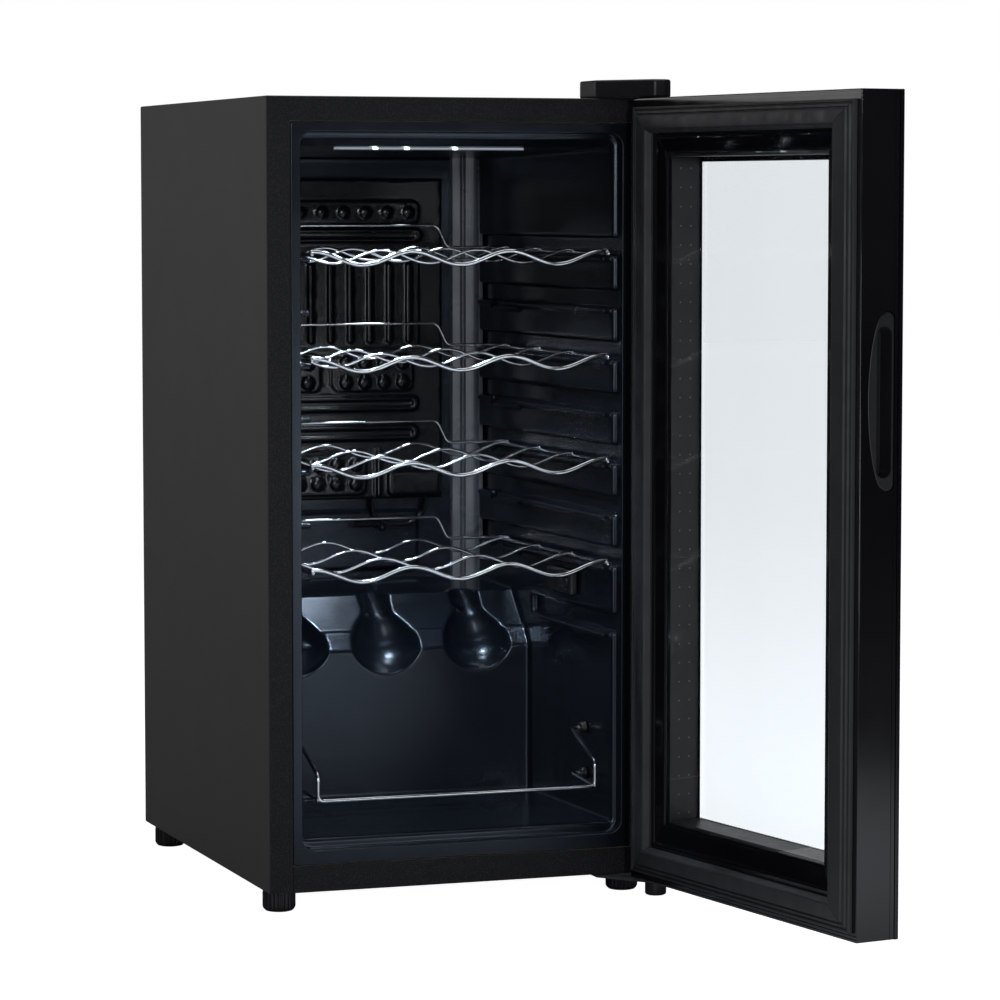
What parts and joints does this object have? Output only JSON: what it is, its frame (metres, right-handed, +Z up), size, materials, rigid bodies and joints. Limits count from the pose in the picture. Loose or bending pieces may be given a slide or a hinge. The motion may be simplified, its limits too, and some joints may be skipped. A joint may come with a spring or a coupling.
{
  "type": "wine cooler",
  "caption": "Free-standing compressor wine cooler with a side-hinged glass door, sliding chromed wire shelves and levelling feet.",
  "frame": {"origin": "on the floor under the middle of the whole part with its door standing open at rest", "axes": "+Z up, front of the cabinet faces -Y, +X is the hinge side"},
  "size_m": [0.409, 0.791, 0.7],
  "materials": {
    "charcoal_paint": "satin charcoal powder coat",
    "black_paint": "satin black paint",
    "galvanised": "zinc coated sheet",
    "liner_abs": "semi-gloss black moulded plastic",
    "foam": "rigid polyurethane foam",
    "gloss_black": "polished black",
    "black_plastic": "satin black plastic",
    "lens": "frosted diffuser",
    "chrome": "polished chrome plate",
    "rubber": "soft black",
    "white_plastic": "off-white",
    "glass": "clear insulating glass",
    "aluminium": "satin",
    "copper": "drawn copper tube"
  },
  "bodies": {
    "cabinet": {"outer_shell": "charcoal_paint", "front_bottom_rail": "black_paint", "base_pan": "galvanised", "back_panel": "galvanised", "compressor_base": "galvanised", "inner_liner": "liner_abs", "foam_insulation": "foam", "evaporator_plate": "gloss_black", "evaporator_tube": "black_paint", "sensor_cover": "black_plastic", "lamp_lens": "lens", "bottle_guard": "chrome", "guard_socket_upper_left": "black_plastic", "guard_socket_lower_left": "black_plastic", "guard_socket_upper_right": "black_plastic", "guard_socket_lower_right": "black_plastic", "upper_hinge_bracket": "galvanised", "upper_hinge_cover": "black_plastic", "lower_hinge_bracket": "black_paint", "lower_hinge_cap": "black_plastic", "condenser_tube": "black_paint", "condenser_bracket_left": "black_paint", "condenser_bracket_right": "black_paint", "compressor": "black_paint", "compressor_mount_1": "rubber", "compressor_mount_2": "rubber", "compressor_mount_3": "rubber", "compressor_mount_4": "rubber", "start_relay_box": "black_plastic", "drip_tray": "black_plastic", "control_board_box": "white_plastic", "filter_drier": "copper", "power_cord_gland": "black_plastic", "cord_bracket": "galvanised", "discharge_line": "copper", "suction_line": "copper"},
    "door": {"door_frame": "gloss_black", "upper_hinge_bush": "white_plastic", "lower_hinge_bush": "white_plastic", "inner_glass": "glass", "glass_spacer": "aluminium", "front_glass": "glass", "glazing_bead": "gloss_black", "door_gasket": "rubber", "grip_insert": "black_plastic", "display_module": "black_plastic"},
    "shelf_1": {"wire_shelf_1": "chrome"},
    "shelf_2": {"wire_shelf_2": "chrome"},
    "shelf_3": {"wire_shelf_3": "chrome"},
    "shelf_4": {"wire_shelf_4": "chrome"},
    "foot_front_left": {"levelling_foot_front_left": "black_plastic"},
    "foot_front_right": {"levelling_foot_front_right": "black_plastic"},
    "foot_rear_left": {"levelling_foot_rear_left": "black_plastic"},
    "foot_rear_right": {"levelling_foot_rear_right": "black_plastic"}
  },
  "joints": [
    {"name": "door_hinge", "type": "hinge", "parent": "cabinet", "child": "door", "pos_m": [0.132, -0.05991, 0.352], "axis": [0, 0, 1], "range_deg": [-99, 16]},
    {"name": "shelf_1_slide", "type": "slide", "parent": "cabinet", "child": "shelf_1", "axis": [0, -1, 0], "range_m": [0, 0.25]},
    {"name": "shelf_2_slide", "type": "slide", "parent": "cabinet", "child": "shelf_2", "axis": [0, -1, 0], "range_m": [0, 0.25]},
    {"name": "shelf_3_slide", "type": "slide", "parent": "cabinet", "child": "shelf_3", "axis": [0, -1, 0], "range_m": [0, 0.25]},
    {"name": "shelf_4_slide", "type": "slide", "parent": "cabinet", "child": "shelf_4", "axis": [0, -1, 0], "range_m": [0, 0.25]},
    {"name": "foot_front_left_adjust", "type": "slide", "parent": "cabinet", "child": "foot_front_left", "axis": [0, 0, -1], "range_m": [0, 0.01]},
    {"name": "foot_front_right_adjust", "type": "slide", "parent": "cabinet", "child": "foot_front_right", "axis": [0, 0, -1], "range_m": [0, 0.01]},
    {"name": "foot_rear_left_adjust", "type": "slide", "parent": "cabinet", "child": "foot_rear_left", "axis": [0, 0, -1], "range_m": [0, 0.01]},
    {"name": "foot_rear_right_adjust", "type": "slide", "parent": "cabinet", "child": "foot_rear_right", "axis": [0, 0, -1], "range_m": [0, 0.01]}
  ]
}
